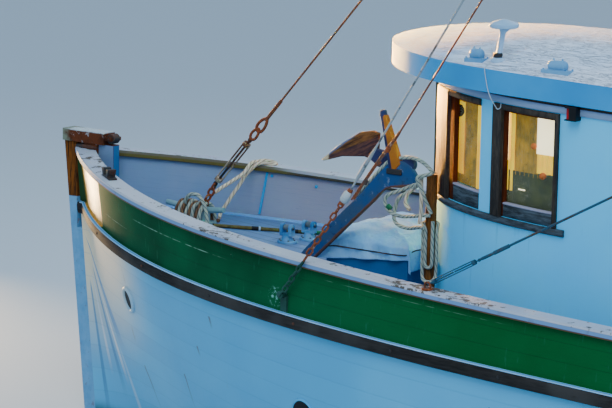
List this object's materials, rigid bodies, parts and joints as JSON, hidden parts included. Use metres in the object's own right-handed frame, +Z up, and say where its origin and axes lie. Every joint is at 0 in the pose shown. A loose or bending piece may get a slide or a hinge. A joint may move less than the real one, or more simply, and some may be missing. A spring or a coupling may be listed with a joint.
{
  "type": "fishing trawler",
  "caption": "Small wooden fishing trawler with a rounded wheelhouse, mast and boom, winch, net drum and stern gallows; floats on water.",
  "frame": {"origin": "amidships on the centreline at the waterline", "axes": "+X towards the bow, +Y to port, +Z up"},
  "size_m": [9.7307, 2.8574, 8.83],
  "materials": {
    "white_hull": "satin",
    "green_bulwark": "satin",
    "cap_rail": "matte",
    "guard_wood": "matte",
    "deck_blue_grey": "matte",
    "stem_wood": "matte",
    "rusty_steel": "matte",
    "galvanised": "satin",
    "window_frame": "satin",
    "pale_blue_casting": "satin",
    "skylight_blue": "satin",
    "canvas": "matte",
    "rope": "matte",
    "glass": "gloss",
    "black_plastic": "satin",
    "orange_paint": "matte",
    "anchor_blue_grey": "matte",
    "machinery_grey": "matte",
    "net_green": "matte",
    "bronze": "satin",
    "white_plastic": "satin"
  },
  "bodies": {
    "hull_body": {"hull": "white_hull", "house_front": "white_hull", "house_side_port": "white_hull", "house_side_starboard": "white_hull", "house_aft": "white_hull", "backbone": "stem_wood", "stem_head": "stem_wood", "deck": "deck_blue_grey", "bulwark_port": "green_bulwark", "bulwark_starboard": "green_bulwark", "bulwark_transom": "green_bulwark", "cap_rail_port": "cap_rail", "cap_rail_starboard": "cap_rail", "cap_rail_stern": "cap_rail", "wheelhouse_roof": "cap_rail", "guard_port": "guard_wood", "guard_starboard": "guard_wood", "deck_pole": "guard_wood", "rope_post": "guard_wood", "wheelhouse_sole": "guard_wood", "console": "guard_wood", "bow_chock_port": "rusty_steel", "exhaust_stack": "rusty_steel", "forestay": "rusty_steel", "fore_shroud_port": "rusty_steel", "fore_shroud_starboard": "rusty_steel", "trawl_door_port": "rusty_steel", "trawl_door_starboard": "rusty_steel", "side_stay_port": "rusty_steel", "side_stay_starboard": "rusty_steel", "mooring_cleat": "galvanised", "window_frames": "window_frame", "engine_cover": "window_frame", "roller_stand_port": "pale_blue_casting", "roller_stand_starboard": "pale_blue_casting", "skylight_box": "skylight_blue", "canvas_cover": "canvas", "rope_hank": "rope", "bow_rope": "rope", "roof_cord": "rope", "glazing": "glass", "sidelight_port": "black_plastic", "sidelight_starboard": "black_plastic", "mast": "orange_paint", "anchor": "anchor_blue_grey", "engine_block": "machinery_grey", "winch_frame": "machinery_grey", "stern_gallows": "machinery_grey", "mushroom_aerial": "white_plastic"},
    "bow_roller": {"bow_roller": "rusty_steel"},
    "boom": {"boom": "orange_paint", "topping_lift": "rusty_steel"},
    "winch_drums": {"winch_drums": "rusty_steel"},
    "net_drum": {"net_drum": "net_green"},
    "hatch_lid": {"hatch_lid": "window_frame"},
    "wheelhouse_door": {"wheelhouse_door": "window_frame"},
    "rudder": {"rudder": "machinery_grey"},
    "helm_wheel": {"helm_wheel": "guard_wood"},
    "propeller": {"propeller": "bronze"}
  },
  "joints": [
    {"name": "bow_roller_spin", "type": "hinge", "parent": "hull_body", "child": "bow_roller", "pos_m": [4.49, 0, 2.031], "axis": [0, 1, 0], "continuous": true},
    {"name": "boom_swing", "type": "hinge", "parent": "hull_body", "child": "boom", "pos_m": [-1.89, 0, 3.26], "axis": [0, 0, 1], "range_deg": [-60, 60]},
    {"name": "winch_spin", "type": "hinge", "parent": "hull_body", "child": "winch_drums", "pos_m": [-2.25, 0, 1.69653], "axis": [0, 1, 0], "continuous": true},
    {"name": "net_drum_spin", "type": "hinge", "parent": "hull_body", "child": "net_drum", "pos_m": [-3.9, 0, 1.88841], "axis": [0, 1, 0], "continuous": true},
    {"name": "hatch_lid_hinge", "type": "hinge", "parent": "hull_body", "child": "hatch_lid", "pos_m": [-2.544, 0, 1.59702], "axis": [0, 1, 0], "range_deg": [0, 95]},
    {"name": "door_hinge", "type": "hinge", "parent": "hull_body", "child": "wheelhouse_door", "pos_m": [-1.293, 0.688, 2], "axis": [0, 0, -1], "range_deg": [0, 95]},
    {"name": "rudder_turn", "type": "hinge", "parent": "hull_body", "child": "rudder", "pos_m": [-4.52, 0, -0.4], "axis": [0, 0, 1], "range_deg": [-35, 35]},
    {"name": "helm_turn", "type": "hinge", "parent": "hull_body", "child": "helm_wheel", "pos_m": [0.85, 0, 1.79], "axis": [1, 0, 0], "range_deg": [-421, 421]},
    {"name": "propeller_spin", "type": "hinge", "parent": "hull_body", "child": "propeller", "pos_m": [-4.06, 0, -0.68], "axis": [1, 0, 0], "continuous": true}
  ],
  "couplings": [
    {"joint": "helm_turn", "follows": "rudder_turn", "ratio": 12}
  ]
}
